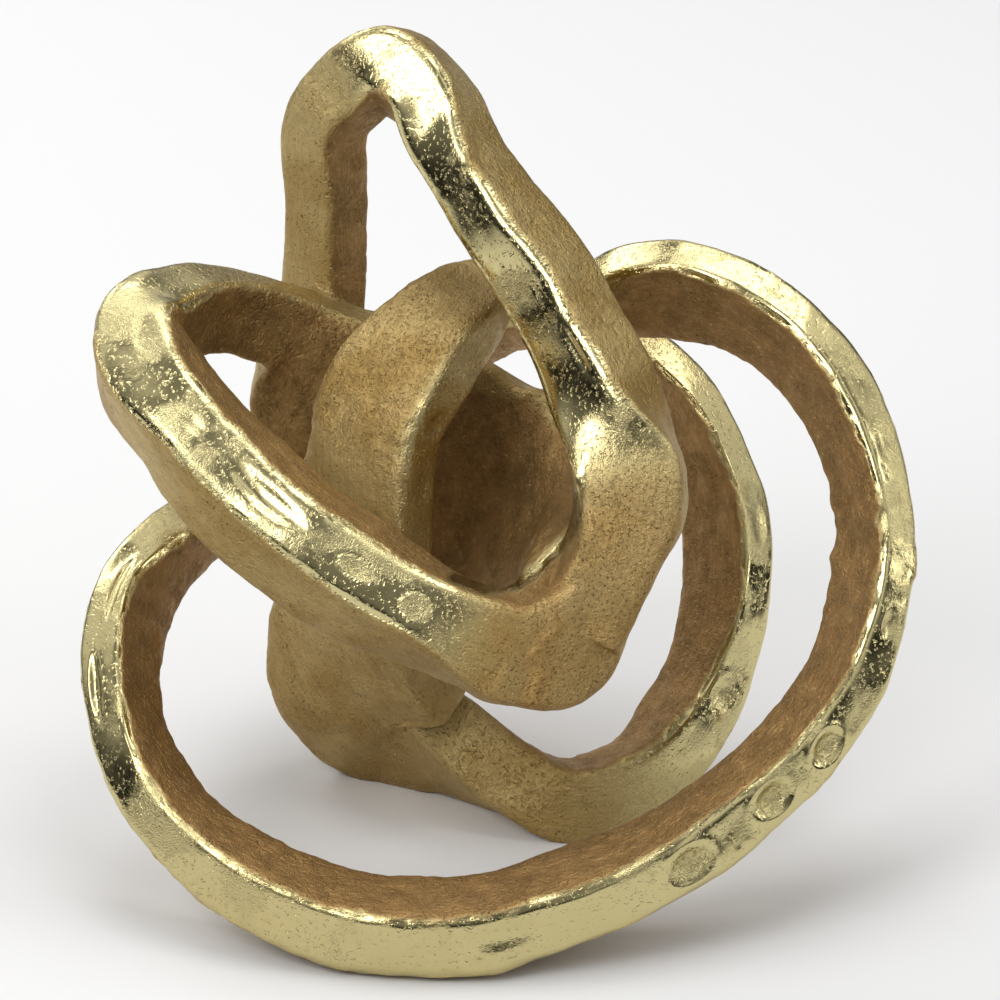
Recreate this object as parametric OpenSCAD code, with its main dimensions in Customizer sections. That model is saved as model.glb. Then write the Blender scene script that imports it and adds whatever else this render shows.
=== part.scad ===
// Metal ring disentanglement puzzle: two closed rings linked through one another, and a twin link
// (a loop with a tall arch brazed to it) linked through the smaller ring. Units are millimetres.
// +Z is up and -Y is the front. The origin is on the floor under the middle of the puzzle.

/* [Size] */
// Overall size against the real object (1 is about 210 mm wide)
size_factor = 1; // [0.5:0.05:2]
// Thickness of the cast bands against the real object
band_factor = 1; // [0.8:0.02:1]

/* [Casting] */
// Depth of the hand-cast unevenness along the bands, as a share of their thickness
swell = 0.04; // [0:0.01:0.06]
// How square the band section is (2 is oval, 6 is nearly sharp)
squareness = 4.5; // [3:0.5:6]

/* [Smoothness] */
// Sections swept between two shaping stations
steps = 6; // [4:1:6]
// Points round one band section
round_points = 20; // [16:2:22]

/* [Hidden] */

gold = [0.78, 0.70, 0.46];
pale_gold = [0.80, 0.72, 0.50];

// The stations are set out on a drawing plane that leans back by this angle:
// across, up the plane, and out of the plane towards the front.
lean = 25;

// Height of the drawing plane's zero above the floor; thinner bands let it sink to keep them standing.
half_band = 11;
floor_drop = 86 - half_band * (1 - band_factor);

// Moves that bring the middle of the puzzle to the origin.
shift_x = 0.9;
shift_y = 11.1;

// Number of slow and of quick swellings round a band, and the share of the quick ones.
slow_lumps = 5;
quick_lumps = 11;
quick_share = 0.7;

// Each station: across, up, out, three parts of the rim direction, band width, band depth, and taper.
// Taper is how much narrower the rim is than the middle of the band, as a share; below 0 it is wider.
large_stations = [
    [  47,   53,   -4,    1,    6,    8,   12,   26,  0.1],
    [  66,   45,    3,    4,    5,    9,   12,   23,  0.1],
    [  81,   30,   10,    5,    3,    9,   12,   22,  0.1],
    [  90,   12,   15,    5,    1,    9,   12,   22,  0.1],
    [  93,  -12,   19,    5,   -1,    9,   12,   23,  0.1],
    [  88,  -38,   23,    4,   -2,    9,   13,   23,  0.1],
    [  78,  -56,   28,    3,   -3,    9,   15,   20,  0.1],
    [  62,  -72,   34,    2,   -4,    9,   16,   20,  0.1],
    [  41,  -87,   38,    1,   -4,    9,   17,   22,  0.1],
    [  16,  -98,   41,    1,   -4,    9,   18,   23,  0.1],
    [ -12, -105,   43,    0,   -4,    9,   18,   22,  0.1],
    [ -37, -103,   40,   -1,   -4,    9,   18,   21,  0.1],
    [ -63,  -93,   34,   -2,   -4,    9,   17,   20,  0.1],
    [ -80,  -79,   27,   -3,   -3,    9,   15,   19,  0.1],
    [ -91,  -61,   18,   -4,   -2,    9,   14,   19,  0.1],
    [ -95,  -41,    8,   -4,    0,    9,   14,   19,  0.1],
    [ -92,  -24,   -5,   -4,    1,    9,   14,   20,  0.1],
    [ -82,  -11,  -19,   -3,    2,    9,   14,   18,  0.1],
    [ -66,    1,  -40,   -1,    3,    9,   12,   14,  0.1],
    [ -48,   11,  -56,    0,    3,    9,   11,   12,  0.1],
    [ -27,   25,  -58,    0,    3,    9,   11,   12,  0.1],
    [ -10,   38,  -54,    0,    3,    9,   10,   12,  0.1],
    [   1,   44,  -46,    0,    3,    9,    9,   11,  0.1],
    [  10,   45,  -35,    0,    3,    9,    9,   11,  0.1],
    [  19,   46,  -24,    0,    4,    9,   10,   12,  0.1],
    [  30,   52,  -13,    0,    6,    8,   14,   19,  0.1]
];

inner_stations = [
    [  35,   39,  -46,    3,    5,    8,    9,   13,    0],
    [  43,   31,  -44,    4,    4,    8,   10,   16,    0],
    [  50,   19,  -40,    6,    3,    8,   11,   19,    0],
    [  57,   -1,  -37,    7,    1,    8,   11,   23,    0],
    [  58,  -19,  -34,    7,    0,    8,   11,   24,    0],
    [  55,  -38,  -32,    6,   -2,    8,   13,   24,    0],
    [  48,  -54,  -30,    4,   -3,    9,   16,   23,    0],
    [  37,  -69,  -27,    2,   -3,    9,   19,   19,    0],
    [  20,  -76,  -24,    0,   -2,    9,   20,   19,    0],
    [   4,  -71,  -27,    1,    0,    9,   18,   20,    0],
    [ -12,  -62,  -33,    3,    2,    9,   18,   30,    0],
    [ -22,  -57,  -37,    4,    4,    8,   19,   46, -0.1],
    [ -31,  -51,  -35,    5,    4,    8,   21,   52, -0.1],
    [ -35,  -40,  -25,    6,    2,    8,   19,   47,    0],
    [ -36,  -22,  -11,    7,    0,    8,   17,   42,    0],
    [ -34,   -5,   -1,    8,    0,    7,   16,   37,    0],
    [ -32,   10,    3,    9,   -1,    7,   15,   34,    0],
    [ -29,   23,    4,    9,   -3,    7,   15,   32,    0],
    [ -20,   37,    2,    7,   -6,    7,   16,   29,    0],
    [  -9,   48,   -4,    4,   -8,    8,   14,   24,    0],
    [   0,   55,  -14,    1,   -5,    9,   11,   15,    0],
    [   9,   58,  -29,    0,    2,    9,    9,   11,    0],
    [  17,   57,  -42,    0,    4,    9,    9,   11,    0],
    [  26,   50,  -48,    1,    5,    9,    9,   11,    0]
];

left_stations = [
    [  -5,  -34,   40,    0,    0,    9,   25,   22,  0.1],
    [ -21,  -26,   42,    0,    1,    9,   23,   21,  0.3],
    [ -40,  -15,   41,    1,    1,    9,   24,   20,  0.4],
    [ -57,   -2,   38,    1,    1,    9,   24,   20,  0.4],
    [ -73,   14,   31,    1,    1,    9,   25,   20, 0.35],
    [ -86,   30,   21,    0,    0,    9,   25,   20,  0.2],
    [ -89,   43,    9,   -1,    2,    9,   21,   20, 0.15],
    [ -77,   48,   -6,   -1,    7,    7,   15,   22,  0.1],
    [ -64,   47,  -17,    0,    9,    5,   13,   20,  0.1],
    [ -53,   43,  -24,    0,    9,    4,   13,   23,  0.1],
    [ -43,   32,  -29,    1,    9,    4,   13,   46,  0.1],
    [ -31,   24,  -33,    2,    9,    3,   13,   47,  0.1],
    [ -15,   13,  -33,    2,    9,    2,   13,   53,  0.1],
    [   0,    2,  -27,    3,    9,    2,   13,   56,  0.1],
    [  13,   -3,  -13,    5,    9,    2,   14,   50,  0.1],
    [  23,   -3,    4,    7,    6,    3,   17,   38,  0.1],
    [  26,  -11,   18,    7,    1,    6,   22,   30,  0.1],
    [  19,  -26,   31,    4,   -2,    8,   24,   24,  0.1],
    [  13,  -35,   35,    2,   -2,    9,   29,   23, 0.05],
    [   3,  -37,   38,    1,   -1,    9,   27,   22, 0.05]
];

arch_stations = [
    [ -46,   30,  -36,   -5,    0,    8,   17,   13, 0.15],
    [ -46,   50,  -35,   -5,    0,    8,   19,   14, 0.15],
    [ -45,   74,  -27,   -5,    0,    8,   19,   14, 0.15],
    [ -45,   94,  -16,   -5,    0,    8,   18,   15, 0.15],
    [ -38,  104,   -9,   -4,    0,    8,   19,   16, 0.15],
    [ -29,  109,   -4,   -2,    1,    9,   20,   18, 0.15],
    [ -19,  102,    0,   -2,    1,    9,   19,   19, 0.15],
    [ -12,   89,    4,   -4,   -1,    8,   18,   20,  0.1],
    [  -3,   75,    9,   -5,   -2,    8,   17,   21, 0.05],
    [   7,   61,   14,   -5,   -3,    8,   18,   21, 0.05],
    [  17,   44,   20,   -5,   -3,    8,   20,   21, 0.05],
    [  25,   27,   26,   -4,   -2,    8,   23,   21, 0.05],
    [  30,   11,   30,   -2,    0,    9,   25,   20, 0.05],
    [  32,    0,   32,    0,    2,    9,   28,   20, 0.05],
    [  28,  -13,   33,    1,    0,    9,   24,   22, 0.05],
    [  18,  -33,   34,    1,    0,    9,   22,   22, 0.05]
];

function unit(a) = a / norm(a);

// Catmull-Rom blend of four rows of a station table at the fraction f.
function blend(a, b, c, d, f) =
    0.5 * (
        2 * b + (c - a) * f
        + (2 * a - 5 * b + 4 * c - d) * f * f
        + (3 * b - a - 3 * c + d) * f * f * f
    );

// Row i of a table that runs round in a circle, or stops at its ends.
function row(rows, i, closed) =
    closed ? rows[(i + 2 * len(rows)) % len(rows)] : rows[max(0, min(len(rows) - 1, i))];

function smooth_rows(rows, closed) = [
    for (i = [0 : len(rows) - (closed ? 1 : 2)])
        for (j = [0 : steps - 1])
            blend(row(rows, i - 1, closed), row(rows, i, closed), row(rows, i + 1, closed),
                row(rows, i + 2, closed), j / steps)
];

// Drawing-plane position to the frame of the finished puzzle.
function turned(q) = [
    q[0],
    q[1] * sin(lean) - q[2] * cos(lean),
    q[1] * cos(lean) + q[2] * sin(lean)
];

function placed(q) = size_factor * (turned(q) + [shift_x, shift_y, floor_drop]);

// One point of a rounded box section, x across the rim and y along the band depth.
function box_point(angle, taper) =
    let (
        c = cos(angle),
        s = sin(angle),
        r = pow(pow(abs(c), squareness) + pow(abs(s), squareness), -1 / squareness)
    ) [r * c * (1 - taper * r * s), r * s] / 2;

// Slow and quick unevenness along a band, around 1.
function lumps(i, n, phase) =
    1 + swell * (
        sin(360 * slow_lumps * i / n + phase)
        + quick_share * sin(360 * quick_lumps * i / n + 2 * phase)
    );

// Closed outline of the band at swept row i, flattened where it would pass below the floor.
function section(rows, i, closed, phase) =
    let (
        q = rows[i],
        n = len(rows),
        along = row(rows, i + 1, closed) - row(rows, i - 1, closed),
        run = unit([along[0], along[1], along[2]]),
        rim_raw = [q[3], q[4], q[5]],
        rim = unit(rim_raw - (rim_raw * run) * run),
        side = cross(run, rim),
        width = q[6] * band_factor * lumps(i, n, phase),
        depth = q[7] * band_factor * lumps(i, n, phase + 90)
    ) [
        for (k = [0 : round_points - 1])
            let (
                b = box_point(360 * k / round_points + 180 / round_points, q[8]),
                p = placed([q[0], q[1], q[2]] + side * b[0] * width + rim * b[1] * depth)
            ) [p[0], p[1], max(p[2], 0)]
    ];

// Solid band through its stations.
module band(stations, closed, phase) {
    rows = smooth_rows(stations, closed);
    n = len(rows);
    m = round_points;
    points = [for (i = [0 : n - 1]) each section(rows, i, closed, phase)];
    walls = [
        for (i = [0 : n - (closed ? 1 : 2)])
            for (k = [0 : m - 1])
                let (
                    a = i * m + k,
                    b = i * m + (k + 1) % m,
                    c = ((i + 1) % n) * m + (k + 1) % m,
                    d = ((i + 1) % n) * m + k
                ) each [[a, b, c], [a, c, d]]
    ];
    ends = closed ? [] : [
        [for (k = [0 : m - 1]) m - 1 - k],
        [for (k = [0 : m - 1]) (n - 1) * m + k]
    ];
    polyhedron(points, concat(walls, ends), convexity = 8);
}

module large_ring() {
    color(gold) band(large_stations, true, 20);
}

module inner_ring() {
    color(gold) band(inner_stations, true, 140);
}

module left_loop() {
    color(pale_gold) band(left_stations, true, 250);
}

module top_arch() {
    color(pale_gold) band(arch_stations, false, 60);
}

large_ring();
inner_ring();
left_loop();
top_arch();
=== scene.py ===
"""Looks for the metal ring disentanglement puzzle: hand-cast, hammered, gold-finished bands.

Each CAD node is replaced by a finer skin, swept through the stations of part.scad (apart from
two rim directions of the arch) and hammered with seeded noise and a few placed dents.
Lengths are in millimetres until a mesh is made of them.
"""

import math

import bmesh
import bpy
import numpy as np
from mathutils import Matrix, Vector
from mathutils.kdtree import KDTree


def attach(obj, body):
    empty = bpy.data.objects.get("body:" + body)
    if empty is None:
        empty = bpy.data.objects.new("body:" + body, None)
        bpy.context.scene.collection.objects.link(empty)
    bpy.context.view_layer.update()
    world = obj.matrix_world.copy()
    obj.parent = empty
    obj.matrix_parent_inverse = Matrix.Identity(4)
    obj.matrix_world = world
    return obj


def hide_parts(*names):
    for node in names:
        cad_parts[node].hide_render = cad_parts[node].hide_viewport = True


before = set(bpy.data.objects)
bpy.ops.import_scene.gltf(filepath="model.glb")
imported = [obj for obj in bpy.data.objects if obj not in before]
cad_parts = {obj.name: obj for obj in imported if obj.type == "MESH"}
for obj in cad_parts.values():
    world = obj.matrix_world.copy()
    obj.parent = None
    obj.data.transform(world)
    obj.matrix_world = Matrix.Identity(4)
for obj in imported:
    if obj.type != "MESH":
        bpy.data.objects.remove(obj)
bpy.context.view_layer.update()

MM = 0.001

# ---------------------------------------------------------------- sizes shared with part.scad
# The drawing plane leans back by LEAN, and SHIFT is where its zero lies in the row frame.
LEAN = math.radians(25)
SHIFT = (0.9, 11.1, 86.0)
SWELL = 0.04
SLOW_LUMPS = 5
QUICK_LUMPS = 11
QUICK_SHARE = 0.7

# The skins are squarer and finer than the solids: steps between stations, and points round a band.
SQUARENESS = 8.0
SPANS = 28
ROUND = 128

# ---------------------------------------------------------------- stations
# Columns: across, up, out, rim direction (3), band width, band depth, taper, polish of the rim.
PATH = slice(0, 3)
RIM = slice(3, 6)
WIDTH = 6
DEPTH = 7
TAPER = 8
POLISH = 9

LARGE = [
    (47, 53, -4, 1, 6, 8, 12, 26, 0.1, 0.9),
    (66, 45, 3, 4, 5, 9, 12, 23, 0.1, 1),
    (81, 30, 10, 5, 3, 9, 12, 22, 0.1, 1),
    (90, 12, 15, 5, 1, 9, 12, 22, 0.1, 1),
    (93, -12, 19, 5, -1, 9, 12, 23, 0.1, 1),
    (88, -38, 23, 4, -2, 9, 13, 23, 0.1, 1),
    (78, -56, 28, 3, -3, 9, 15, 20, 0.1, 1),
    (62, -72, 34, 2, -4, 9, 16, 20, 0.1, 1),
    (41, -87, 38, 1, -4, 9, 17, 22, 0.1, 1),
    (16, -98, 41, 1, -4, 9, 18, 23, 0.1, 0.95),
    (-12, -105, 43, 0, -4, 9, 18, 22, 0.1, 0.9),
    (-37, -103, 40, -1, -4, 9, 18, 21, 0.1, 0.85),
    (-63, -93, 34, -2, -4, 9, 17, 20, 0.1, 0.8),
    (-80, -79, 27, -3, -3, 9, 15, 19, 0.1, 0.9),
    (-91, -61, 18, -4, -2, 9, 14, 19, 0.1, 1),
    (-95, -41, 8, -4, 0, 9, 14, 19, 0.1, 1),
    (-92, -24, -5, -4, 1, 9, 14, 20, 0.1, 1),
    (-82, -11, -19, -3, 2, 9, 14, 18, 0.1, 0.8),
    (-66, 1, -40, -1, 3, 9, 12, 14, 0.1, 0.5),
    (-48, 11, -56, 0, 3, 9, 11, 12, 0.1, 0.4),
    (-27, 25, -58, 0, 3, 9, 11, 12, 0.1, 0.4),
    (-10, 38, -54, 0, 3, 9, 10, 12, 0.1, 0.4),
    (1, 44, -46, 0, 3, 9, 9, 11, 0.1, 0.4),
    (10, 45, -35, 0, 3, 9, 9, 11, 0.1, 0.5),
    (19, 46, -24, 0, 4, 9, 10, 12, 0.1, 0.6),
    (30, 52, -13, 0, 6, 8, 14, 19, 0.1, 0.8),
]
INNER = [
    (35, 39, -46, 3, 5, 8, 9, 13, 0, 0.6),
    (43, 31, -44, 4, 4, 8, 10, 16, 0, 0.8),
    (50, 19, -40, 6, 3, 8, 11, 19, 0, 0.9),
    (57, -1, -37, 7, 1, 8, 11, 23, 0, 1),
    (58, -19, -34, 7, 0, 8, 11, 24, 0, 1),
    (55, -38, -32, 6, -2, 8, 13, 24, 0, 1),
    (48, -54, -30, 4, -3, 9, 16, 23, 0, 1),
    (37, -69, -27, 2, -3, 9, 19, 19, 0, 0.7),
    (20, -76, -24, 0, -2, 9, 20, 19, 0, 0.2),
    (4, -71, -27, 1, 0, 9, 18, 20, 0, 0.1),
    (-12, -62, -33, 3, 2, 9, 18, 30, 0, 0.25),
    (-22, -57, -37, 4, 4, 8, 19, 46, -0.1, 0.2),
    (-31, -51, -35, 5, 4, 8, 21, 52, -0.1, 0.15),
    (-35, -40, -25, 6, 2, 8, 19, 47, 0, 0.1),
    (-36, -22, -11, 7, 0, 8, 17, 42, 0, 0.1),
    (-34, -5, -1, 8, 0, 7, 16, 37, 0, 0.2),
    (-32, 10, 3, 9, -1, 7, 15, 34, 0, 0.45),
    (-29, 23, 4, 9, -3, 7, 15, 32, 0, 0.6),
    (-20, 37, 2, 7, -6, 7, 16, 29, 0, 0.45),
    (-9, 48, -4, 4, -8, 8, 14, 24, 0, 0.3),
    (0, 55, -14, 1, -5, 9, 11, 15, 0, 0.3),
    (9, 58, -29, 0, 2, 9, 9, 11, 0, 0.3),
    (17, 57, -42, 0, 4, 9, 9, 11, 0, 0.3),
    (26, 50, -48, 1, 5, 9, 9, 11, 0, 0.4),
]
LOOP = [
    (-5, -34, 40, 0, 0, 9, 25, 22, 0.1, 0.1),
    (-21, -26, 42, 0, 1, 9, 23, 21, 0.3, 1),
    (-40, -15, 41, 1, 1, 9, 24, 20, 0.4, 1),
    (-57, -2, 38, 1, 1, 9, 24, 20, 0.4, 1),
    (-73, 14, 31, 1, 1, 9, 25, 20, 0.35, 1),
    (-86, 30, 21, 0, 0, 9, 25, 20, 0.2, 1),
    (-89, 43, 9, -1, 2, 9, 21, 20, 0.15, 1),
    (-77, 48, -6, -1, 7, 7, 15, 22, 0.1, 0.6),
    (-64, 47, -17, 0, 9, 5, 13, 20, 0.1, 0.3),
    (-53, 43, -24, 0, 9, 4, 13, 23, 0.1, 0.2),
    (-43, 32, -29, 1, 9, 4, 13, 46, 0.1, 0.1),
    (-31, 24, -33, 2, 9, 3, 13, 47, 0.1, 0.1),
    (-15, 13, -33, 2, 9, 2, 13, 53, 0.1, 0.1),
    (0, 2, -27, 3, 9, 2, 13, 56, 0.1, 0.1),
    (13, -3, -13, 5, 9, 2, 14, 50, 0.1, 0.1),
    (23, -3, 4, 7, 6, 3, 17, 38, 0.1, 0.1),
    (26, -11, 18, 7, 1, 6, 22, 30, 0.1, 0.2),
    (19, -26, 31, 4, -2, 8, 24, 24, 0.1, 0.1),
    (13, -35, 35, 2, -2, 9, 29, 23, 0.05, 0.05),
    (3, -37, 38, 1, -1, 9, 27, 22, 0.05, 0),
]
# The rims of the twelfth and thirteenth stations of the arch are turned otherwise than in
# part.scad, to change what that polished face reflects.
ARCH = [
    (-46, 30, -36, -5, 0, 8, 17, 13, 0.15, 0.1),
    (-46, 50, -35, -5, 0, 8, 19, 14, 0.15, 0.1),
    (-45, 74, -27, -5, 0, 8, 19, 14, 0.15, 0.1),
    (-45, 94, -16, -5, 0, 8, 18, 15, 0.15, 0.15),
    (-38, 104, -9, -4, 0, 8, 19, 16, 0.15, 0.35),
    (-29, 109, -4, -2, 1, 9, 20, 18, 0.15, 0.9),
    (-19, 102, 0, -2, 1, 9, 19, 19, 0.15, 1),
    (-12, 89, 4, -4, -1, 8, 18, 20, 0.1, 1),
    (-3, 75, 9, -5, -2, 8, 17, 21, 0.05, 1),
    (7, 61, 14, -5, -3, 8, 18, 21, 0.05, 1),
    (17, 44, 20, -5, -3, 8, 20, 21, 0.05, 1),
    (25, 27, 26, -6, -1, 8, 23, 21, 0.05, 1),
    (30, 11, 30, -1, 0, 9, 25, 20, 0.05, 0.7),
    (32, 0, 32, 0, 2, 9, 28, 20, 0.05, 0.1),
    (28, -13, 33, 1, 0, 9, 24, 22, 0.05, 0),
    (18, -33, 34, 1, 0, 9, 22, 22, 0.05, 0),
]

# Dents hammered into the rims: station along the band, place across the rim (-1 outer to 1 inner),
# half length along, half width across, depth, roughness of the floor.
LARGE_DENTS = [
    (3.1, 0.1, 3.0, 2.2, 0.5, 0.1),
    (4.7, 0.0, 3.6, 2.4, 0.6, 0.2),
    (6.2, 0.0, 4.8, 4.2, 1.9, 0.5),
    (6.95, 0.05, 5.2, 4.6, 2.1, 0.5),
    (7.9, 0.0, 6.0, 5.0, 1.9, 0.6),
    (9.6, 0.2, 9.0, 4.0, 0.4, 0.05),
    (14.6, -0.2, 9.0, 2.0, 0.7, 0.05),
    (15.7, 0.25, 9.0, 1.8, 0.7, 0.05),
]
INNER_DENTS = [
    (3.4, 0.0, 4.5, 2.4, 0.5, 0.1),
    (5.6, 0.1, 4.8, 3.4, 0.6, 0.3),
    (17.0, 0.1, 6.0, 3.5, 0.7, 0.1),
    (15.8, 0.1, 5.0, 3.5, 0.5, 0.1),
]
LOOP_DENTS = [
    (1.72, 0.0, 6.0, 4.6, 0.8, 0.7),
    (2.95, 0.05, 11.5, 5.4, 1.0, 0.05),
    (4.05, 0.0, 3.4, 3.2, 0.6, 0.1),
    (1.0, -0.1, 4.0, 5.5, 0.5, 0.7),
    (5.3, 0.3, 7.0, 4.0, 0.5, 0.05),
]
ARCH_DENTS = [
    (9.6, -0.4, 3.0, 0.9, 0.35, 0.3),
    (10.6, -0.55, 9.0, 1.1, 0.6, 0.05),
]

# Crumpled stretches of wall: station, half length in stations, depth.
LARGE_CRUMPLES = [(3.9, 1.0, 1.3), (0.6, 0.6, 0.5), (13.5, 1.5, 0.4)]
INNER_CRUMPLES = [(16.6, 0.9, 0.9), (14.0, 0.8, 0.5), (11.0, 1.0, 0.4)]

# The seam where the loop and the arch were brazed, on the drawing plane (across, up).
SEAM = [(13, -16), (12, -24), (13, -31), (9, -38), (10, -42), (8, -49)]
CRACK = [(-4, -26), (1, -34), (0, -41), (-4, -46)]

# The shiny strip that the polished face of the arch narrows to, round the block's inner edge.
STRIP = [(21, 12), (19.5, 4), (19, -2), (17, -8), (11, -15), (4, -20.5), (-4, -21.5), (-11, -19)]


# The twin link, in millimetres: grain of the grown mesh, seam ridge, crack, and shiny strip.
VOXEL = 0.75
RIDGE_HEIGHT = 0.45
CRACK_DEPTH = 0.42
STRIP_WIDTH = 1.7

# Smoothing of the grown mesh: passes all over, then passes and width in millimetres by the strip.
EASE_PASSES = 2
MELT_PASSES = 14
MELT_WIDTH = 6.0
LEAST_MELT = 0.02

# Unevenness of the casting: push in millimetres, and size of its features in millimetres.
WIDE_WAVE = (0.70, 21)
SHORT_WAVE = (0.32, 10)
RIM_BOWLS = (-0.40, 15)
WALL_COARSE = (0.14, 2.2)
WALL_FINE = (0.09, 1.1)
EDGE_NICKS = (0.28, 5.5)
CRUMPLE_COARSE = (0.7, 6.5)
CRUMPLE_FINE = (0.5, 3.0)
DENT_COARSE = (0.30, 2.6)
DENT_FINE = (0.30, 1.3)

# Grain on the rims, what the walls have on top of it, and the size of both.
RIM_GRAIN = 0.06
WALL_GRAIN = 0.14
GRAIN_CELL = 4.2

# How the edge of a polished rim wanders: share of half the band's depth, and size in millimetres.
RIM_WANDER = (0.10, 7)
RIM_FRAY = (0.05, 2.2)

# A dent's raised brim: its place and width as shares of the dent, and its height as a share of depth.
BRIM_AT = 1.15
BRIM_WIDTH = 0.22
BRIM_HEIGHT = 0.14

# Noises of the metal: name, scale to the metre, detail, roughness. Brush marks run along the band.
METAL_NOISES = (
    ("blotch", 55, 5, 0.55),
    ("cloud", 160, 5, 0.55),
    ("speck", 1500, 3, 0.7),
    ("grain", 2600, 2, 0.6),
    ("pit", 900, 2, 0.5),
    ("pebble", 620, 3, 0.6),
)
BRUSH_SCALE = (0.12, 1.6, 1.0)

# Colours of the metal, and how strongly each mark tints it.
SATIN_SHADE = (0.80, 0.74, 0.62)
BROWN_SHADE = 0.72
FOLD_ORANGE = (0.56, 0.33, 0.11)
SPECK_BROWN = (0.10, 0.075, 0.035)
WORN = 0.35
PITTED_TINT = 0.45
FOLD_TINT = 0.32

# Surface of the metal; the bump distance is in metres.
SATIN_ROUGHNESS = 0.46
POLISHED_ROUGHNESS = 0.12
BUMP_STRENGTH = 0.75
BUMP_DISTANCE = 0.0003


# ---------------------------------------------------------------- noise
def hashed(cells, seed):
    """A number from 0 to 1 for each lattice cell."""
    h = np.sin(cells @ np.array([127.1, 311.7, 74.7]) + 17.3 * seed) * 43758.5453
    return h - np.floor(h)


def soft_noise(points, cell, seed):
    """Smooth noise from -1 to 1 with features of about that cell size."""
    q = points / cell
    base = np.floor(q)
    f = q - base
    f = f * f * (3 - 2 * f)
    total = np.zeros(len(points))
    for dx in (0, 1):
        for dy in (0, 1):
            for dz in (0, 1):
                corner = np.array([dx, dy, dz])
                weight = np.abs(1 - corner - f).prod(axis=1)
                total += weight * hashed(base + corner, seed)
    return 2 * total - 1


def bowl_noise(points, cell, seed):
    """Overlapping round bowls, 0 at their brims and 1 in the middle, as a hammer leaves."""
    q = points / cell
    base = np.floor(q)
    nearest = np.full(len(points), 9.0)
    for dx in (-1, 0, 1):
        for dy in (-1, 0, 1):
            for dz in (-1, 0, 1):
                c = base + np.array([dx, dy, dz])
                centre = c + 0.5 + 0.7 * (
                    np.stack([hashed(c, seed + k) for k in range(3)], axis=1) - 0.5
                )
                nearest = np.minimum(nearest, np.linalg.norm(q - centre, axis=1))
    return np.exp(-3.2 * nearest * nearest)


def uneven(kind, points, seed, noise=soft_noise):
    """One kind of unevenness at those points."""
    push, cell = kind
    return push * noise(points, cell, seed)


def smooth_step(low, high, value):
    t = np.clip((value - low) / (high - low), 0, 1)
    return t * t * (3 - 2 * t)


# ---------------------------------------------------------------- swept bands
def smooth_rows(table, closed):
    """Catmull-Rom blend of a station table: the fine rows, and the station that each is at."""
    rows = np.array(table, float)
    count = len(rows)

    def at(i):
        return rows[i % count] if closed else rows[max(0, min(count - 1, i))]

    fine = []
    station = []
    for i in range(count if closed else count - 1):
        a, b, c, d = (at(i + k) for k in (-1, 0, 1, 2))
        for j in range(SPANS):
            f = j / SPANS
            fine.append(
                0.5 * (2 * b + (c - a) * f + (2 * a - 5 * b + 4 * c - d) * f * f
                       + (3 * b - a - 3 * c + d) * f ** 3)
            )
            station.append(i + f)
    return np.array(fine), np.array(station)


def placed(q):
    """Leaning drawing plane to the row frame, in millimetres."""
    s, c = math.sin(LEAN), math.cos(LEAN)
    return np.stack(
        [q[..., 0] + SHIFT[0], q[..., 1] * s - q[..., 2] * c + SHIFT[1],
         q[..., 1] * c + q[..., 2] * s + SHIFT[2]], axis=-1)


def drawn(p):
    """Row frame back to the drawing plane."""
    s, c = math.sin(LEAN), math.cos(LEAN)
    y, z = p[..., 1] - SHIFT[1], p[..., 2] - SHIFT[2]
    return np.stack([p[..., 0] - SHIFT[0], y * s + z * c, -y * c + z * s], axis=-1)


def unit(v):
    return v / np.linalg.norm(v, axis=-1, keepdims=True)


def lumps(count, phase):
    """Slow and quick swelling along a band, as a factor for each row."""
    t = 2 * math.pi * np.arange(count) / count
    ph = math.radians(phase)
    return 1 + SWELL * (
        np.sin(SLOW_LUMPS * t + ph) + QUICK_SHARE * np.sin(QUICK_LUMPS * t + 2 * ph)
    )


def grid_normals(grid, closed):
    if closed:
        along = np.roll(grid, -1, 0) - np.roll(grid, 1, 0)
    else:
        along = np.gradient(grid, axis=0)
    around = np.roll(grid, -1, 1) - np.roll(grid, 1, 1)
    return unit(np.cross(along, around))


def section():
    """Section of a band: across (1 on the inner wall) and out (1 on the rim) of each point."""
    angle = 2 * math.pi * np.arange(ROUND) / ROUND
    c, s = np.cos(angle), np.sin(angle)
    r = (np.abs(c) ** SQUARENESS + np.abs(s) ** SQUARENESS) ** (-1 / SQUARENESS)
    return r * c, r * s


def swept(rows, closed, width, depth):
    """Grid of points of the plain band, and their outward normals."""
    path = rows[:, PATH]
    if closed:
        run = unit(np.roll(path, -1, 0) - np.roll(path, 1, 0))
    else:
        run = unit(np.gradient(path, axis=0))
    rim = rows[:, RIM] - (rows[:, RIM] * run).sum(1, keepdims=True) * run
    rim = unit(rim)
    side = np.cross(run, rim)
    bx, by = section()
    across = bx[None, :] * (1 - rows[:, TAPER:TAPER + 1] * by[None, :])
    grid = placed(
        path[:, None, :]
        + side[:, None, :] * (across * width[:, None] / 2)[..., None]
        + rim[:, None, :] * (by[None, :] * depth[:, None] / 2)[..., None]
    )
    normal = grid_normals(grid, closed)
    # Which way the normals point is settled by the section's own middle.
    middle = placed(path)[:, None, :]
    if ((grid - middle) * normal).sum() < 0:
        normal = -normal
    return grid, normal


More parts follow.
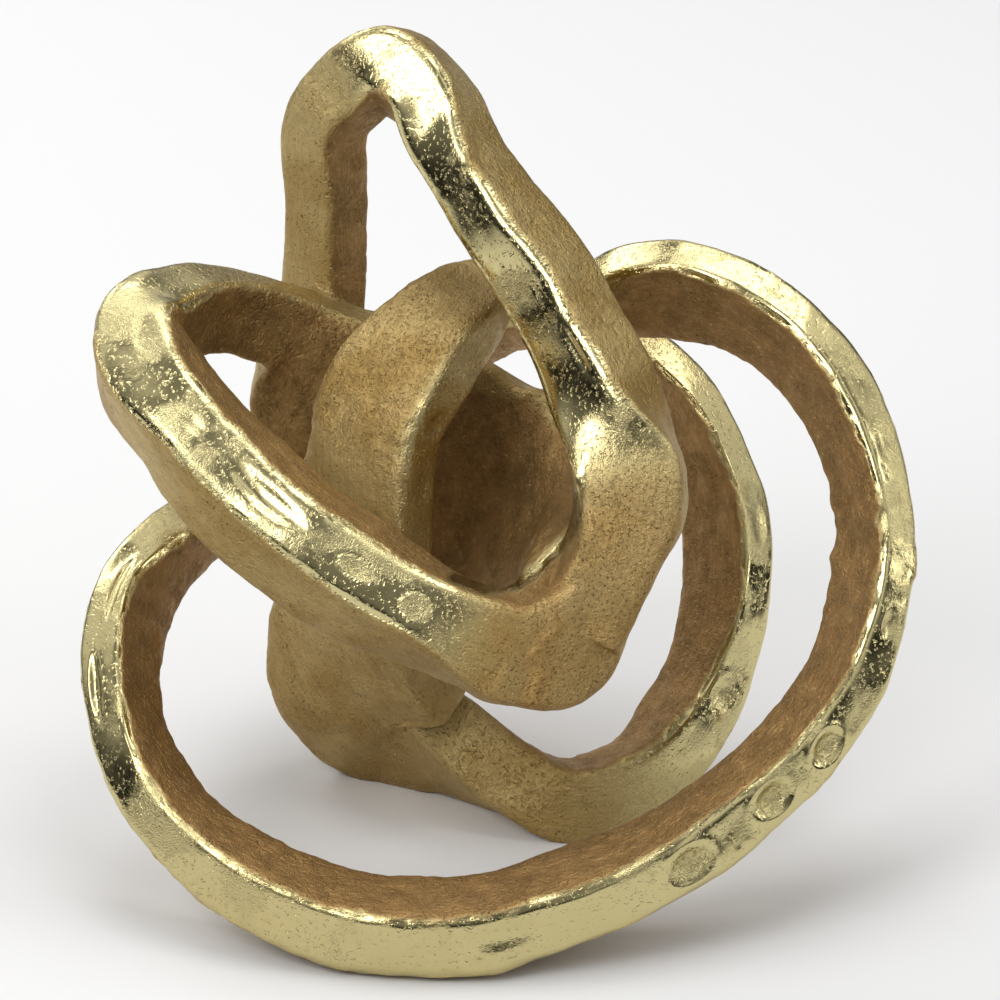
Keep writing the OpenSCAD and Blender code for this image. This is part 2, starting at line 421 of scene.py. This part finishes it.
def hammering(points, front, inward, wall, wave, seed):
    """Push of each point: waves everywhere, bowls on the rims, grain and nicked edges."""
    push = wave * (uneven(WIDE_WAVE, points, seed) + uneven(SHORT_WAVE, points, seed + 1))
    push += wave * uneven(RIM_BOWLS, points, seed + 5, bowl_noise) * (1 - wall)
    push += (RIM_GRAIN + WALL_GRAIN * wall) * soft_noise(points, GRAIN_CELL, seed + 2)
    push += wall * (uneven(WALL_COARSE, points, seed + 6) + uneven(WALL_FINE, points, seed + 7))
    edge = smooth_step(0.75, 1.0, np.abs(front)) * smooth_step(0.75, 1.0, np.abs(inward))
    return push + edge * uneven(EDGE_NICKS, points, seed + 8)


def crumpling(points, stations, wall, crumples, seed):
    """Push of each point on the crumpled stretches of wall."""
    push = np.zeros(len(points))
    for where, half, deep in crumples:
        spread = np.exp(-((stations - where) / half) ** 2) * wall
        push += deep * spread * (uneven(CRUMPLE_COARSE, points, seed + 12)
                                 + uneven(CRUMPLE_FINE, points, seed + 13))
    return push


def denting(points, rows, closed, stations, front, inward, width, dents, seed):
    """Push of each point in the placed dents, and how rough their floors are."""
    push = np.zeros(len(points))
    rough = np.zeros(len(points))
    on_rim = smooth_step(0.6, 0.9, front)
    half_widths = np.repeat(width, ROUND) / 2
    count = len(rows) // SPANS
    for where, place, half_length, half_width, deep, floor in dents:
        row = int(round(where * SPANS)) % len(rows)
        gap = np.abs(stations - where)
        if closed:
            gap = np.minimum(gap, count - gap)
        next_row = (row + 1) % len(rows)
        station_length = np.linalg.norm(rows[next_row, PATH] - rows[row, PATH]) * SPANS
        along = gap * station_length / half_length
        across = (inward - place) * half_widths / half_width
        dist = np.sqrt(along * along + across * across)
        bowl = 1 - smooth_step(0.25, BRIM_AT, dist)
        brim = np.exp(-((dist - BRIM_AT) / BRIM_WIDTH) ** 2)
        push += on_rim * deep * (BRIM_HEIGHT * brim - bowl)
        rough = np.maximum(rough, floor * on_rim * smooth_step(0, 0.35, bowl))
    push += rough * (uneven(DENT_COARSE, points, seed + 10) + uneven(DENT_FINE, points, seed + 9))
    return push, rough


def flow_of(rows, width, depth):
    """Length along the band and round it at each point, for the brush marks."""
    path = rows[:, PATH]
    step = np.linalg.norm(np.diff(np.vstack([path, path[:1]]), axis=0), axis=1)
    length = np.concatenate([[0], np.cumsum(step)[:-1]])
    along = np.repeat(length, ROUND)
    girth = ((width + depth)[:, None] * 2 * (np.arange(ROUND) / ROUND)[None, :]).reshape(-1)
    return np.stack([along, girth, np.zeros(len(along))], axis=1)


def band(table, closed, phase, dents, seed, wave=1.0, crumples=()):
    """The hammered skin of one band: grid of points, and what each point lies on."""
    rows, station = smooth_rows(table, closed)
    n = len(rows)
    width = rows[:, WIDTH] * lumps(n, phase)
    depth = rows[:, DEPTH] * lumps(n, phase + 90)
    grid, normal = swept(rows, closed, width, depth)
    points = grid.reshape(-1, 3)
    bx, by = section()
    front = np.tile(by, n)
    inward = np.tile(bx, n)
    stations = np.repeat(station, ROUND)
    rim = smooth_step(0.78, 0.94, front + uneven(RIM_WANDER, points, seed + 3)
                      + uneven(RIM_FRAY, points, seed + 4))
    wall = 1 - rim
    dent_push, rough = denting(points, rows, closed, stations, front, inward, width, dents, seed)
    push = (hammering(points, front, inward, wall, wave, seed)
            + crumpling(points, stations, wall, crumples, seed) + dent_push)
    skin = points + normal.reshape(-1, 3) * push[:, None]
    skin[:, 2] = np.maximum(skin[:, 2], 0.0)
    return {
        "points": skin, "rows": n, "closed": closed,
        "polish": np.repeat(rows[:, POLISH], ROUND) * rim,
        # Inner walls, which the material paints brown: partly the metal's own tone, partly painted
        # shade.
        "inner": smooth_step(0.55, 0.95, inward) * wall,
        "rough": rough,
        "flow": flow_of(rows, width, depth),
    }


def band_faces(b):
    n, m = b["rows"], ROUND
    faces = []
    for i in range(n if b["closed"] else n - 1):
        a, c = i * m, ((i + 1) % n) * m
        for k in range(m):
            k2 = (k + 1) % m
            faces.append((a + k, a + k2, c + k2, c + k))
    if not b["closed"]:
        faces.append(tuple(range(m - 1, -1, -1)))
        faces.append(tuple(range((n - 1) * m, n * m)))
    return faces


def mesh_object(name, points, faces):
    mesh = bpy.data.meshes.new(name)
    mesh.from_pydata((points * MM).tolist(), [], faces)
    mesh.update()
    obj = bpy.data.objects.new(name, mesh)
    bpy.context.scene.collection.objects.link(obj)
    return obj


def face_outward(obj):
    """Turns the faces outward, and shades them smooth."""
    bm = bmesh.new()
    bm.from_mesh(obj.data)
    bmesh.ops.recalc_face_normals(bm, faces=bm.faces)
    bm.to_mesh(obj.data)
    bm.free()
    obj.data.polygons.foreach_set("use_smooth", [True] * len(obj.data.polygons))
    obj.data.update()


def write_attributes(obj, facts):
    """Stores what each point lies on, for the material to read."""
    for key in ("polish", "inner", "rough", "fold", "pitted"):
        attribute = obj.data.attributes.new(key, "FLOAT", "POINT")
        attribute.data.foreach_set("value", facts[key].astype(np.float32))
    attribute = obj.data.attributes.new("flow", "FLOAT_VECTOR", "POINT")
    attribute.data.foreach_set("vector", facts["flow"].astype(np.float32).reshape(-1))


def ring_skin(name, b):
    obj = mesh_object(name, b["points"], band_faces(b))
    b["fold"] = b["pitted"] = np.zeros(len(b["points"]))
    write_attributes(obj, b)
    face_outward(obj)
    return obj


def near_path(points, path):
    """Distance of (across, up) points from a path."""
    best = np.full(len(points), np.inf)
    for (ax, ay), (bx, by) in zip(path[:-1], path[1:]):
        d = np.array([bx - ax, by - ay], float)
        t = np.clip(((points - (ax, ay)) @ d) / (d @ d), 0, 1)
        gap = np.linalg.norm(points - ((ax, ay) + t[:, None] * d), axis=1)
        best = np.minimum(best, gap)
    return best


def read_vertices(mesh, what):
    values = np.zeros(len(mesh.vertices) * 3)
    mesh.vertices.foreach_get(what, values)
    return values.reshape(-1, 3)


def soften(obj, weights):
    """Smooths the mesh where the weights are high, to melt the join of two bands."""
    group = obj.vertex_groups.new(name="soften")
    for i in np.nonzero(weights > LEAST_MELT)[0].tolist():
        group.add([i], float(weights[i]), "REPLACE")
    melt = obj.modifiers.new("melt", "SMOOTH")
    melt.factor = 0.5
    melt.iterations = MELT_PASSES
    melt.vertex_group = group.name
    graph = bpy.context.evaluated_depsgraph_get()
    obj.data = bpy.data.meshes.new_from_object(obj.evaluated_get(graph))
    obj.modifiers.remove(melt)
    obj.vertex_groups.clear()


def grown(name, points, faces):
    """One closed mesh grown round all the faces, lightly eased."""
    raw = mesh_object(name + "_raw", points, faces)
    face_outward(raw)
    grow = raw.modifiers.new("grow", "REMESH")
    grow.mode = "VOXEL"
    grow.voxel_size = VOXEL * MM
    ease = raw.modifiers.new("ease", "SMOOTH")
    ease.factor = 0.5
    ease.iterations = EASE_PASSES
    graph = bpy.context.evaluated_depsgraph_get()
    mesh = bpy.data.meshes.new_from_object(raw.evaluated_get(graph))
    bpy.data.objects.remove(raw)
    obj = bpy.data.objects.new(name, mesh)
    bpy.context.scene.collection.objects.link(obj)
    return obj


def nearest_facts(points, bands, co):
    """What each new point lies on, from the nearest point of the bands."""
    tree = KDTree(len(points))
    for i, p in enumerate(points):
        tree.insert(Vector(p), i)
    tree.balance()
    index = np.array([tree.find(Vector(p))[1] for p in co])
    return {
        key: np.concatenate([b[key] for b in bands])[index]
        for key in ("polish", "inner", "rough", "flow")
    }


def wandering(co, wander, cell, seed):
    """Sideways noise on the drawing plane, that keeps a seam from running straight."""
    return wander * np.stack([soft_noise(co, cell, seed), soft_noise(co, cell, seed + 1)], axis=1)


def fused_skin(name, bands, seed):
    """Several bands grown into one casting, with a raised seam, a crack and a shiny strip."""
    points = np.vstack([b["points"] for b in bands])
    faces = []
    offset = 0
    for b in bands:
        faces += [tuple(v + offset for v in f) for f in band_faces(b)]
        offset += len(b["points"])
    obj = grown(name, points, faces)
    co = read_vertices(obj.data, "co") / MM
    plane = drawn(co)
    soften(obj, np.exp(-(near_path(plane[:, :2], STRIP) / MELT_WIDTH) ** 2)
           * smooth_step(10, 22, plane[:, 2]))

    mesh = obj.data
    co = read_vertices(mesh, "co") / MM
    facts = nearest_facts(points, bands, co)
    normals = read_vertices(mesh, "normal")
    plane = drawn(co)
    forward = -normals[:, 1] * math.cos(LEAN) + normals[:, 2] * math.sin(LEAN)
    on_block = smooth_step(26, 34, plane[:, 2]) * smooth_step(0.1, 0.5, forward)
    seam = near_path(plane[:, :2] + wandering(co, 0.9, 3.0, seed), SEAM)
    crack = near_path(plane[:, :2] + wandering(co, 0.7, 2.5, seed + 2), CRACK)
    ridge = np.exp(-(seam / 1.4) ** 2) - 0.6 * np.exp(-((seam - 2.6) / 1.4) ** 2)
    groove = np.exp(-(crack / 1.3) ** 2)
    push = on_block * (RIDGE_HEIGHT * ridge - CRACK_DEPTH * groove)
    co = co + normals * push[:, None]
    mesh.vertices.foreach_set("co", (co * MM).reshape(-1))

    fold = np.exp(-((seam - 1.0) / 1.8) ** 2) + 0.7 * np.exp(-(crack / 1.8) ** 2)
    facts["fold"] = np.clip(on_block * fold, 0, 1)
    strip = np.exp(-(near_path(plane[:, :2], STRIP) / STRIP_WIDTH) ** 2)
    facts["polish"] = np.maximum(facts["polish"], strip * smooth_step(24, 30, plane[:, 2]))
    right_side = smooth_step(4, 16, plane[:, 0] - 0.25 * plane[:, 1])
    brown_side = right_side * smooth_step(14, 4, plane[:, 1])
    facts["pitted"] = on_block * brown_side * (1 - facts["polish"])
    write_attributes(obj, facts)
    face_outward(obj)
    return obj


# ---------------------------------------------------------------- materials
class Graph:
    """A node tree, with short ways to add the nodes that the metals and the sky use."""

    # Sockets of the colour mix node.
    MIX_FACTOR = 0
    MIX_A = 6
    MIX_B = 7
    MIX_RESULT = 2

    def __init__(self, tree):
        self.nodes = tree.nodes
        self.links = tree.links

    def feed(self, value, socket):
        """Sets a number or a colour on a socket, or links another node's output to it."""
        if isinstance(value, (int, float)):
            socket.default_value = value
        elif isinstance(value, tuple):
            socket.default_value = (*value, 1)
        else:
            self.links.new(value, socket)

    def mix(self, factor, a, b, blend="MIX"):
        node = self.nodes.new("ShaderNodeMix")
        node.data_type = "RGBA"
        node.blend_type = blend
        for socket, value in ((self.MIX_FACTOR, factor), (self.MIX_A, a), (self.MIX_B, b)):
            self.feed(value, node.inputs[socket])
        return node.outputs[self.MIX_RESULT]

    def math(self, kind, a, b=0.0, clamp=False):
        node = self.nodes.new("ShaderNodeMath")
        node.operation = kind
        node.use_clamp = clamp
        self.feed(a, node.inputs[0])
        self.feed(b, node.inputs[1])
        return node.outputs[0]

    def noise(self, vector, scale, detail=4.0, roughness=0.55):
        node = self.nodes.new("ShaderNodeTexNoise")
        node.inputs["Scale"].default_value = scale
        node.inputs["Detail"].default_value = detail
        node.inputs["Roughness"].default_value = roughness
        self.feed(vector, node.inputs["Vector"])
        return node.outputs["Fac"]

    def remap(self, value, low, high, to_low=0.0, to_high=1.0):
        node = self.nodes.new("ShaderNodeMapRange")
        node.interpolation_type = "SMOOTHSTEP"
        node.inputs["From Min"].default_value = low
        node.inputs["From Max"].default_value = high
        node.inputs["To Min"].default_value = to_low
        node.inputs["To Max"].default_value = to_high
        self.feed(value, node.inputs["Value"])
        return node.outputs["Result"]

    def attribute(self, key, kind="Fac"):
        node = self.nodes.new("ShaderNodeAttribute")
        node.attribute_name = key
        return node.outputs[kind]

    def weighted(self, value, dull, on_dull, on_gloss):
        """The value times one weight where the metal is dull and another where it is glossy."""
        return self.math("MULTIPLY", value, self.remap(dull, 0.0, 1.0, on_gloss, on_dull))


def metal_marks(g):
    """What the metal's colour, gloss and height are made from: painted points and noises."""
    m = {key: g.attribute(key) for key in ("polish", "inner", "rough", "fold", "pitted")}
    place = g.nodes.new("ShaderNodeTexCoord").outputs["Object"]
    flow = g.nodes.new("ShaderNodeMapping")
    flow.inputs["Scale"].default_value = BRUSH_SCALE
    g.feed(g.attribute("flow", "Vector"), flow.inputs["Vector"])
    for key, scale, detail, roughness in METAL_NOISES:
        m[key] = g.noise(place, scale, detail, roughness)
    m["brush"] = g.noise(flow.outputs["Vector"], 1.0, 4, 0.65)
    m["gloss"] = g.math("SUBTRACT", m["polish"], m["rough"], True)
    m["dull"] = g.math("SUBTRACT", 1.0, m["gloss"], True)
    patches = g.math("MAXIMUM", g.remap(m["cloud"], 0.42, 0.60), m["pitted"])
    specks = g.math("MULTIPLY", g.remap(m["speck"], 0.57, 0.66), patches)
    m["specks"] = g.math("MULTIPLY", specks, g.remap(m["gloss"], 0.0, 1.0, 0.85, 0.10))
    return m


def metal_color(g, m, satin, bright, brown):
    """Satin walls, brown inner walls (their own browner tone, darkened as painted shade) with worn
    flecks, bright rims, dark specks, brush marks.
    """
    shaded = tuple(c * k for c, k in zip(satin, SATIN_SHADE))
    color = g.mix(g.remap(m["blotch"], 0.38, 0.62), satin, shaded)
    browned_and_shaded = g.mix(g.remap(m["cloud"], 0.3, 0.7), brown, tuple(BROWN_SHADE * c for c in brown))
    worn = g.math("MULTIPLY", g.remap(m["pebble"], 0.50, 0.66), WORN)
    browned_and_shaded = g.mix(worn, browned_and_shaded, satin)
    # The inner walls take the brown: the metal's own browner tone, made darker as painted shade where
    # the inner faces lie in shade.
    color = g.mix(m["inner"], color, browned_and_shaded)
    color = g.mix(g.math("MULTIPLY", m["pitted"], PITTED_TINT), color, browned_and_shaded)
    color = g.mix(g.math("MULTIPLY", m["fold"], FOLD_TINT), color, FOLD_ORANGE)
    color = g.mix(m["polish"], color, bright)
    color = g.mix(m["specks"], color, SPECK_BROWN)
    brushed = g.remap(m["brush"], 0.35, 0.75, 1.0, 0.78)
    tone = g.mix(m["dull"], (1.0, 1.0, 1.0), brushed)
    return g.mix(1.0, color, tone, "MULTIPLY")


def metal_roughness(g, m):
    """Near-mirror rims and satin walls, duller in dents and on specks, glossier on worn flecks."""
    rough = g.remap(m["polish"], 0.0, 1.0, SATIN_ROUGHNESS, POLISHED_ROUGHNESS)
    for part in (
        g.remap(m["inner"], 0.0, 1.0, 0.0, 0.06),
        g.math("MULTIPLY", m["rough"], 0.06),
        g.remap(m["cloud"], 0.3, 0.7, -0.03, 0.05),
        g.weighted(g.remap(m["pebble"], 0.48, 0.66), m["dull"], -0.14, 0.0),
    ):
        rough = g.math("ADD", rough, part)
    return g.math("ADD", rough, g.math("MULTIPLY", m["specks"], 0.2), True)


def metal_height(g, m):
    """Fine relief: casting grain, brush marks, pits, specks and pebbling."""
    dull = m["dull"]
    # Polished metal is mirror-like except in patches where the casting's grain shows through.
    grainy = g.math("MAXIMUM", g.remap(m["blotch"], 0.50, 0.62), m["rough"])
    shown = g.math("MAXIMUM", dull, g.math("MULTIPLY", grainy, 0.7))
    height = g.math("MULTIPLY", m["grain"], shown)
    pits = g.remap(m["pit"], 0.56, 0.70)
    for kind, mark, on_dull, on_gloss in (
        ("ADD", m["brush"], 1.0, 0.06),
        ("SUBTRACT", pits, 1.6, 0.25),
        ("SUBTRACT", m["specks"], 0.8, 0.3),
        ("ADD", m["cloud"], 1.2, 0.08),
        ("ADD", m["pebble"], 2.2, 0.0),
    ):
        height = g.math(kind, height, g.weighted(mark, dull, on_dull, on_gloss))
    return height


def gold_material(name, satin, bright, brown):
    """Cast gold: polished rims, satin walls, brown inner walls partly darkened as painted shade,
    specks, pits and brush marks.
    """
    material = bpy.data.materials.new(name)
    material.use_nodes = True
    g = Graph(material.node_tree)
    m = metal_marks(g)
    shader = g.nodes["Principled BSDF"]
    shader.inputs["Metallic"].default_value = 1.0
    g.feed(metal_color(g, m, satin, bright, brown), shader.inputs["Base Color"])
    g.feed(metal_roughness(g, m), shader.inputs["Roughness"])
    bump = g.nodes.new("ShaderNodeBump")
    bump.inputs["Strength"].default_value = BUMP_STRENGTH
    bump.inputs["Distance"].default_value = BUMP_DISTANCE
    g.feed(metal_height(g, m), bump.inputs["Height"])
    g.feed(bump.outputs["Normal"], shader.inputs["Normal"])
    return material


# ---------------------------------------------------------------- pieces
# The third colour of each gold is the inner walls' brown: the metal's own browner tone, darkened
# further as painted shade.
ring_gold = gold_material(
    "ring_gold", (0.52, 0.375, 0.155), (0.60, 0.52, 0.26), (0.50, 0.31, 0.125))
link_gold = gold_material(
    "link_gold", (0.54, 0.40, 0.17), (0.62, 0.54, 0.275), (0.46, 0.29, 0.115))

large = ring_skin(
    "large_ring_skin", band(LARGE, True, 20, LARGE_DENTS, 11, crumples=LARGE_CRUMPLES))
inner = ring_skin(
    "inner_ring_skin", band(INNER, True, 140, INNER_DENTS, 31, crumples=INNER_CRUMPLES))
left_loop = band(LOOP, True, 250, LOOP_DENTS, 51)
top_arch = band(ARCH, False, 60, ARCH_DENTS, 71, wave=0.35)
twin = fused_skin("twin_link_skin", [left_loop, top_arch], 91)

for obj, material, slot, body, cad_nodes in (
    (large, ring_gold, "ring_gold", "large_body", ["large_ring"]),
    (inner, ring_gold, "ring_gold", "inner_body", ["inner_ring"]),
    (twin, link_gold, "link_gold", "twin_body", ["left_loop", "top_arch"]),
):
    obj.data.materials.clear()
    obj.data.materials.append(material)
    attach(obj, body)
    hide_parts(*cad_nodes)


# ---------------------------------------------------------------- stage, light and camera
FLOOR_HALF = 4.0  # metres
FLOOR_GREY = 0.80
SENSOR = 36  # millimetres
DISTANCE = 1.8  # metres
FIELD = 0.25  # metres seen across the drawing plane

# Brightness of the sky from straight down to straight up, with stops between (height, brightness).
SKY_BELOW = 0.5
SKY_ABOVE = 0.95
SKY_BANDS = ((0.44, 0.06), (0.56, 0.05), (0.64, 0.24), (0.80, 0.75))
SKY_FLAGS = 5.0
SKY_STRENGTH = 0.8


def stage_floor():
    half = FLOOR_HALF / MM
    corners = np.array([(-half, -half, 0), (half, -half, 0), (half, half, 0), (-half, half, 0)])
    obj = mesh_object("floor", corners, [(0, 1, 2, 3)])
    material = bpy.data.materials.new("pale_floor")
    material.use_nodes = True
    shader = material.node_tree.nodes["Principled BSDF"]
    shader.inputs["Base Color"].default_value = (FLOOR_GREY, FLOOR_GREY, FLOOR_GREY, 1)
    shader.inputs["Roughness"].default_value = 0.9
    shader.inputs["Specular IOR Level"].default_value = 0.1
    obj.data.materials.append(material)


def softbox(name, at, aim, size, power):
    """A rectangular light at one place, aimed at another; metres and watts."""
    light = bpy.data.lights.new(name, "AREA")
    light.shape = "RECTANGLE"
    light.size, light.size_y = size
    light.energy = power
    obj = bpy.data.objects.new(name, light)
    obj.location = at
    obj.rotation_euler = (Vector(aim) - Vector(at)).to_track_quat("-Z", "Y").to_euler()
    bpy.context.scene.collection.objects.link(obj)


def studio_world():
    """A pale studio with a dark band at eye level, and flags round it that the gold reflects."""
    world = bpy.data.worlds.new("studio")
    bpy.context.scene.world = world
    world.use_nodes = True
    g = Graph(world.node_tree)
    split = g.nodes.new("ShaderNodeSeparateXYZ")
    g.feed(g.nodes.new("ShaderNodeTexCoord").outputs["Generated"], split.inputs[0])
    ramp = g.nodes.new("ShaderNodeValToRGB")
    g.feed(g.remap(split.outputs["Z"], -1.0, 1.0), ramp.inputs[0])
    stops = ramp.color_ramp.elements
    stops[0].position = 0.0
    stops[0].color = (SKY_BELOW, SKY_BELOW, SKY_BELOW, 1)
    stops[1].position = 1.0
    stops[1].color = (SKY_ABOVE, SKY_ABOVE, SKY_ABOVE, 1)
    for position, value in SKY_BANDS:
        stop = stops.new(position)
        stop.color = (value, value, value, 1)
    turn = g.math("ARCTAN2", split.outputs["Y"], split.outputs["X"])
    flags = g.math("SINE", g.math("MULTIPLY", turn, SKY_FLAGS))
    shade = g.mix(1.0, ramp.outputs["Color"], g.remap(flags, -0.6, 0.5, 0.35, 1.25), "MULTIPLY")
    background = g.nodes["Background"]
    g.feed(shade, background.inputs["Color"])
    background.inputs["Strength"].default_value = SKY_STRENGTH


def photo_camera(middle):
    """Camera square on to the leaning drawing plane, DISTANCE from its middle."""
    lens = bpy.data.cameras.new("camera")
    lens.sensor_width = SENSOR
    lens.lens = SENSOR * DISTANCE / FIELD
    camera = bpy.data.objects.new("camera", lens)
    camera.location = Vector(middle) + DISTANCE * Vector((0, -math.cos(LEAN), math.sin(LEAN)))
    camera.rotation_euler = (math.pi / 2 - LEAN, 0, 0)
    bpy.context.scene.collection.objects.link(camera)
    bpy.context.scene.camera = camera
    bpy.context.scene.view_settings.view_transform = "Standard"


middle = placed(np.zeros(3)) * MM
stage_floor()
studio_world()
softbox("key_left", (-0.9, -0.8, 1.1), middle, (0.7, 0.9), 9)
softbox("top", (0.1, 0.3, 1.4), middle, (1.0, 0.8), 7)
softbox("right_strip", (1.1, -0.3, 0.6), middle, (0.25, 0.9), 2)
softbox("back_left", (-0.7, 0.9, 0.8), middle, (0.6, 0.6), 4)
photo_camera(middle)
